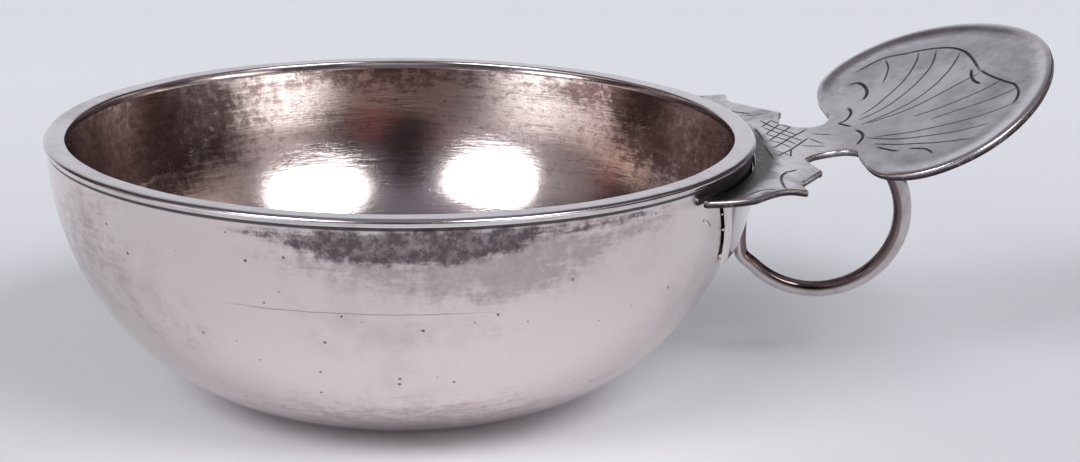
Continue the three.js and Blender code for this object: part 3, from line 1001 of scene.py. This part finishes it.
def wall_silver():
    """Outside: mottled grey-brown stains, brown tarnish under the rim at the front that also serves as a
    painted dark reflection, painted shade in the crease under the strip and under the rim behind the plate,
    and two scratches.
    Inside: smoother, brown patina below the rim with painted dark reflections on the sides, speckled and
    brushed."""
    s = Silver("aged_silver_wall", (0.765, 0.692, 0.672), (0.56, 0.49, 0.49), 0.15, 0.55, 1, pit_size=0.12)
    inside = s.attribute("inside")
    outside = s.minus(1.0, inside)
    # mottled grey-brown stains; the broad band low on the front, at (0, 5), makes the wall darker towards
    # the bottom
    light = s.blotches(s.azimuth, s.z, (
        (-30, 33, 9, 4, 0.2), (-10, 33, 14, 5, 0.75), (8, 31.5, 11, 5.5, 0.8), (21, 34, 8, 3.5, 0.8),
        (13, 29.5, 6, 2.5, 0.5), (36, 35.5, 8, 2.2, 0.7), (-66, 31, 14, 8, 0.6), (-84, 25, 14, 9, 0.6),
        (-50, 19, 14, 6, 0.4), (2, 22, 30, 4, 0.25), (0, 5, 60, 7, 0.8)))
    s.stain(s.times(light, outside, 0.75), GREY_BROWN)
    # brown tarnish under the rim at the front, dark enough to stand for the dark reflection there: a painted
    # reflection
    dark = s.blotches(s.azimuth, s.z, (
        (-14, 35.2, 9, 1.8, 1.5), (-4, 34.9, 9, 2.2, 1.75), (5, 35.4, 7, 1.7, 1.5),
        (-26, 36.2, 8, 0.9, 0.55), (20, 36.3, 9, 1.1, 0.75), (33, 36.5, 6, 0.8, 0.6)))
    s.stain(s.times(dark, outside, 0.92), BROWN, 0.24)
    # painted shade: a thin dark line on the wall in the crease just under the strip
    s.stain(s.times(s.between(s.z, 37.12, 37.3), outside, 0.9), OXIDE_AND_SHADE, 0.4)
    # painted shade on the wall just under the rim behind the handle plate, where the plate and the rim
    # shadow it
    shade_behind_plate = s.spot(s.azimuth, s.z, (90, 36.2), (46, 1.9))
    s.stain(s.times(s.between(shade_behind_plate, 0.25, 0.6), outside, 0.95), OXIDE_AND_SHADE, 0.3)

    # a long fine scratch round the front, a little wavy
    line = s.between(s.away(s.z, s.plus(25.2, s.times(s.mottle, 0.5))), 0.09, 0.03)
    reach = s.between(s.away(s.azimuth, -14.0), 24, 14)
    s.stain(s.times(line, reach, outside, 0.6), BROWN)

    # a short slanting scratch near the handle
    across = s.times(s.minus(s.azimuth, 50.6), 0.9)
    up = s.minus(s.z, 32.0)
    beside = s.away(s.plus(s.times(across, 0.6), s.times(up, 0.8)))
    along = s.away(s.minus(s.times(across, 0.8), s.times(up, 0.6)))
    slash = s.times(s.between(beside, 0.13, 0.06), s.between(along, 1.4, 0.8))
    s.stain(s.times(slash, outside, 0.8), OXIDE_AND_SHADE)

    s.stain(s.times(inside, 0.55), (0.68, 0.62, 0.60), 0.08)
    # brown patina just below the rim at the back, and large dark patches on the inner sides that are painted
    # dark reflections
    inner_patina_and_reflection = s.blotches(s.azimuth, s.z, (
        (180, 37, 16, 3, 0.9), (-180, 37, 16, 3, 0.9), (135, 36.5, 25, 2.5, 0.6), (-107, 29, 26, 12, 1.35),
        (-140, 32, 20, 8, 1.1), (112, 34, 18, 9, 1.5), (84, 28, 14, 10, 1.0)))
    s.stain(s.times(inner_patina_and_reflection, inside), (0.15, 0.092, 0.088), 0.16)
    speckle = s.plus(s.times(s.grain, 0.6), s.times(s.streaks, 0.4))
    speckle = s.times(s.between(speckle, 0.49, 0.62), s.between(s.z, 12, 33, 0.15, 0.75))
    s.stain(s.times(speckle, inside), (0.36, 0.29, 0.28))
    brushed = s.times(s.minus(s.streaks, 0.5), inside, s.between(s.z, 10, 27, 0.3, 1.0))
    s.height = s.plus(s.height, s.times(brushed, 6.0))
    return s.done()


def band_silver():
    return Silver("aged_silver_band", (0.72, 0.70, 0.71), (0.46, 0.43, 0.44), 0.15, 0.7, 2, 0.05).done()


def plate_silver():
    """Greyer than the bowl: grime and painted shade next to the wall, a painted dark reflection on the lower
    side faces, dark oxide in the strokes, painted shade and a painted pale patch on the disc, and pale on
    the worn border.
    """
    s = Silver("aged_silver_plate", (0.76, 0.745, 0.77), (0.50, 0.475, 0.51), 0.25, 0.8, 3, pit_size=0.05)
    grime_and_shade = s.attribute("grime_and_shade")
    # dark brown and oxide here are painted shade next to the wall and a painted dark reflection on the side
    # faces, with grime over the wings
    uneven = s.times(s.minus(s.mottle, 0.5), 1.6, s.between(grime_and_shade, 0.02, 0.3))
    s.stain(s.times(s.between(s.plus(grime_and_shade, uneven), 0.2, 0.95), 0.92), (0.11, 0.085, 0.085), 0.35)
    s.stain(s.between(grime_and_shade, 0.75, 1.05), OXIDE_AND_SHADE, 0.4)
    s.stain(s.times(s.between(s.grain, 0.52, 0.66), 0.45), (0.40, 0.375, 0.40))
    s.height = s.plus(s.height, s.times(s.grain, 0.9))
    # painted shade: darker patches on the disc, mostly towards its far side and right
    disc_painted_shade = s.blotches(s.x, s.y, (
        (76, 15, 14, 5, 1.0), (90, 3, 5, 12, 1.0), (84, 12, 8, 6, 0.8), (80, -12, 8, 5, 0.3)))
    s.stain(s.times(disc_painted_shade, 0.6), (0.47, 0.455, 0.50))
    # painted light: a paler patch left of the disc's centre
    s.stain(s.times(s.spot(s.x, s.y, (71, 1), (9, 6)), 0.6), (0.87, 0.85, 0.87))
    rim = s.between(s.attribute("rim"), 0.25, 0.9)
    s.stain(s.times(rim, 0.4), (0.80, 0.785, 0.79), 0.16)
    s.stain(s.math("MULTIPLY", s.attribute("groove"), 0.85, clamp=True), OXIDE_AND_SHADE, 0.45)
    return s.done()


def saddle_silver():
    return Silver("aged_silver_saddle", (0.76, 0.72, 0.71), (0.42, 0.38, 0.37), 0.16, 0.5, 4).done()


def ring_silver():
    """Tarnished on the side that faces the finger, darkened further there as a painted dark reflection; worn
    bright outside.
    """
    s = Silver("aged_silver_ring", (0.60, 0.56, 0.55), (0.30, 0.26, 0.25), 0.09, 0.8, 5, pit_size=0.05)
    # tarnish with a painted dark reflection on the inner half of the wire
    s.stain(s.times(s.attribute("inner_tarnish_and_reflection"), 0.92), (0.14, 0.10, 0.10))
    return s.done()


bowl(wall_silver())
mouth_band(band_silver())
handle_plate(plate_silver())
wall_saddle(saddle_silver())
finger_loop(ring_silver())


# Floor, light and camera

def direction(azimuth, elevation):
    """Unit vector towards a point of the room; azimuth 0 is -Y and 90 is +X."""
    a = math.radians(azimuth)
    e = math.radians(elevation)
    return Vector((math.sin(a) * math.cos(e), -math.cos(a) * math.cos(e), math.sin(e)))


PALE = (0.71, 0.735, 0.795)
FLOOR_RINGS = (0.3, 0.6, 1.2, 2.5, 6.0)


def floor():
    """A round floor, lit near the object and fading to an even pale tone far away."""
    mesh = bpy.data.meshes.new("floor")
    turns = 64
    rings = lathe([(radius, 0) for radius in FLOOR_RINGS], turns)
    faces = shifted(grid_faces(len(FLOOR_RINGS), turns, close_columns=True, flip=True), 1)
    mesh.from_pydata([(0, 0, 0)] + rings.tolist(), [], fan(0, 1, turns) + faces)
    ground = bpy.data.objects.new("floor", mesh)
    ground.location.z = -0.00002
    bpy.context.collection.objects.link(ground)
    material = new_material("pale_floor")
    mesh.materials.append(material)
    t = Tree(material.node_tree)
    coords = t.node("ShaderNodeTexCoord").outputs["Object"]
    x, y, _ = t.split(coords)
    cloud = t.between(t.noise(coords, 6, 3, 0.5), 0.3, 0.7)
    colour = t.mix(cloud, (0.70, 0.705, 0.76), (0.74, 0.745, 0.80))
    # painted light: the floor's colour grows paler towards the back
    colour = t.mix(t.between(y, -0.06, 0.25, 0.0, 0.9), colour, (0.87, 0.885, 0.95))
    # painted light: a paler pool on the floor in front of the bowl
    colour = t.mix(t.spot(x, y, (0.008, -0.035), (0.045, 0.045)), colour, (0.87, 0.865, 0.92))
    # painted shadow: a dark patch on the floor under the bowl
    colour = t.mix(t.spot(x, y, (0, 0), (0.024, 0.024), 2.0), colour, (0.42, 0.40, 0.43))
    path = t.node("ShaderNodeLightPath")
    seen = t.math("MAXIMUM", path.outputs["Is Camera Ray"], path.outputs["Is Glossy Ray"])
    seen = t.math("MAXIMUM", seen, path.outputs["Is Transmission Ray"])
    far = t.node("ShaderNodeVectorMath", {"operation": "LENGTH"}, Vector=coords).outputs["Value"]
    mixed = t.node("ShaderNodeMixShader")
    t.put(mixed.inputs[0], t.times(t.between(far, 0.35, 1.1), seen))
    t.put(mixed.inputs[1], t.node("ShaderNodeBsdfDiffuse", Color=colour).outputs[0])
    t.put(mixed.inputs[2], t.node("ShaderNodeEmission", Color=PALE, Strength=1.0).outputs[0])
    t.output("ShaderNodeOutputMaterial", mixed)


LAMP_DISTANCE = 2.4


def softbox(name, azimuth, elevation, half_wide, half_high, radiance):
    """An oval lamp that faces the object; its half sizes are the angles it takes up, in degrees."""
    lamp = bpy.data.lights.new(name, "AREA")
    lamp.shape = "ELLIPSE"
    lamp.size = 2 * LAMP_DISTANCE * math.tan(math.radians(half_wide))
    lamp.size_y = 2 * LAMP_DISTANCE * math.tan(math.radians(half_high))
    area = math.pi * lamp.size * lamp.size_y / 4
    lamp.energy = radiance * area * math.pi
    box = bpy.data.objects.new(name, lamp)
    toward = direction(azimuth, elevation)
    box.location = toward * LAMP_DISTANCE
    box.rotation_euler = toward.to_track_quat("Z", "Y").to_euler()
    bpy.context.collection.objects.link(box)
    box.visible_camera = False


# Soft patches of light in the room, seen mostly by reflections:
# (azimuth, elevation, half width, half height, colour), in degrees and radiance
PATCHES = (
    (-56, 5.5, 16, 6, (2.2, 2.15, 2.1)),
    (-80, 5, 11, 5, (1.6, 1.35, 1.3)),
    (-86, 14, 18, 3.5, (0.60, 0.47, 0.41)),
    (-50, 14, 27, 9, (0.36, 0.31, 0.33)),
    (-46, 25, 20, 7, (0.30, 0.28, 0.31)),
    (-80, 29, 14, 9, (0.22, 0.19, 0.195)),
    (-105, 12, 9, 5, (0.66, 0.48, 0.40)),
    (-93, 18, 6, 11, (0.10, 0.02, 0.015)),
    (36, 5.5, 17, 6, (2.6, 2.5, 2.45)),
    (38, 15, 17, 8, (0.42, 0.35, 0.35)),
    (43, 25, 15, 8, (0.30, 0.26, 0.27)),
    (74, 31, 17, 9, (0.27, 0.22, 0.20)),
    (93, 27, 10, 5, (0.42, 0.33, 0.29)),
    (80, 35, 8, 5, (0.30, 0.24, 0.22)),
    (0, 6.5, 24, 5, (0.20, 0.14, 0.11)),
    (4, 16, 8, 6, (0.13, 0.03, 0.03)),
    (-22, 22, 6, 5, (0.11, 0.02, 0.02)),
    (-48, 40, 25, 16, (0.55, 0.53, 0.57)),
    (35, 44, 27, 17, (0.55, 0.52, 0.53)),
    (-14, 50, 24, 13, (0.11, 0.10, 0.13)),
)
# A dark tall shape between the two lamps, placed and sized as the patches are
DARK = (-9, 27, 9, 19)
DARK_COLOUR = (0.012, 0.007, 0.009)
OVERHEAD = 0.25

# What matt surfaces get from the room, from low down and from high up
FILL = (1.85, 0.2)


def world():
    """A room that shiny surfaces mirror: dark in front, pale behind, with soft patches of light."""
    room = bpy.data.worlds.new("room")
    room.use_nodes = True
    room.node_tree.nodes.clear()
    bpy.context.scene.world = room
    t = Tree(room.node_tree)
    x, y, z = t.split(t.node("ShaderNodeTexCoord").outputs["Generated"])
    azimuth = t.azimuth_of(x, y)
    elevation = t.times(t.math("ARCSINE", z), 180 / math.pi)

    def ramp(*stops):
        node = t.node("ShaderNodeValToRGB")
        t.put(node.inputs[0], t.math("DIVIDE", elevation, 90.0, clamp=True))
        elements = node.color_ramp.elements
        while len(elements) < len(stops):
            elements.new(0.5)
        for element, (place, colour) in zip(elements, stops):
            element.position = place / 90
            element.color = (*colour, 1)
        return node.outputs["Color"]

    def patch(a, e, wide, high):
        return t.spot(azimuth, elevation, (a, e), (wide, high), 1.5)

    top = (OVERHEAD, OVERHEAD * 0.97, OVERHEAD)
    front = ramp((0, (0.05, 0.026, 0.025)), (12, (0.052, 0.028, 0.027)), (30, (0.06, 0.045, 0.05)),
                 (62, (0.10, 0.09, 0.11)), (70, top))
    back = ramp((0, (0.72, 0.72, 0.76)), (18, (0.66, 0.66, 0.70)), (35, (0.58, 0.58, 0.61)),
                (48, (0.26, 0.25, 0.27)), (62, (0.12, 0.11, 0.12)), (70, top))
    colour = t.mix(t.between(t.away(azimuth), 138, 158), front, back)
    for a, e, wide, high, tint in PATCHES:
        colour = t.mix(patch(a, e, wide, high), colour, tint, "ADD")
    colour = t.mix(t.times(patch(*DARK), 0.9), colour, DARK_COLOUR)
    path = t.node("ShaderNodeLightPath")
    colour = t.mix(path.outputs["Is Glossy Ray"], t.between(z, 0.22, 0.55, *FILL), colour)
    colour = t.mix(path.outputs["Is Camera Ray"], colour, PALE)
    t.output("ShaderNodeOutputWorld", t.node("ShaderNodeBackground", Color=colour, Strength=1.0))


def camera():
    """The photograph's camera: distance and elevation from the centre of the mouth, then its aim."""
    photo_width = 1080
    focal_pixels = 3007.0
    distance = 433.525
    elevation = math.radians(13.13258)
    azimuth = math.radians(-6.57)
    yaw = math.radians(2.73252)
    pitch = math.radians(-1.92374)
    roll = math.radians(0.66801)
    position = Vector((0, -distance * math.cos(elevation), distance * math.sin(elevation)))
    aim = -elevation + pitch
    forward = Vector((math.sin(yaw) * math.cos(aim), math.cos(yaw) * math.cos(aim), math.sin(aim)))
    right = Vector((math.cos(yaw), -math.sin(yaw), 0))
    up = right.cross(forward)
    right, up = math.cos(roll) * right + math.sin(roll) * up, math.cos(roll) * up - math.sin(roll) * right
    turn = Matrix.Rotation(azimuth, 3, "Z")
    lens = bpy.data.cameras.new("camera")
    lens.sensor_width = 36
    lens.lens = lens.sensor_width * focal_pixels / photo_width
    lens.clip_start = 0.02
    lens.clip_end = 30
    view = bpy.data.objects.new("camera", lens)
    axes = Matrix((turn @ right, turn @ up, turn @ -forward)).transposed()
    place = turn @ position + Vector((0, 0, HEIGHT))
    view.matrix_world = Matrix.Translation(place * MM) @ axes.to_4x4()
    bpy.context.collection.objects.link(view)
    bpy.context.scene.camera = view


floor()
softbox("softbox_left", -47, 39, 15.3, 10, 7.3)
softbox("softbox_right", 34.5, 44.5, 16.8, 11, 6.3)
world()
camera()
bpy.context.scene.view_settings.view_transform = "Standard"
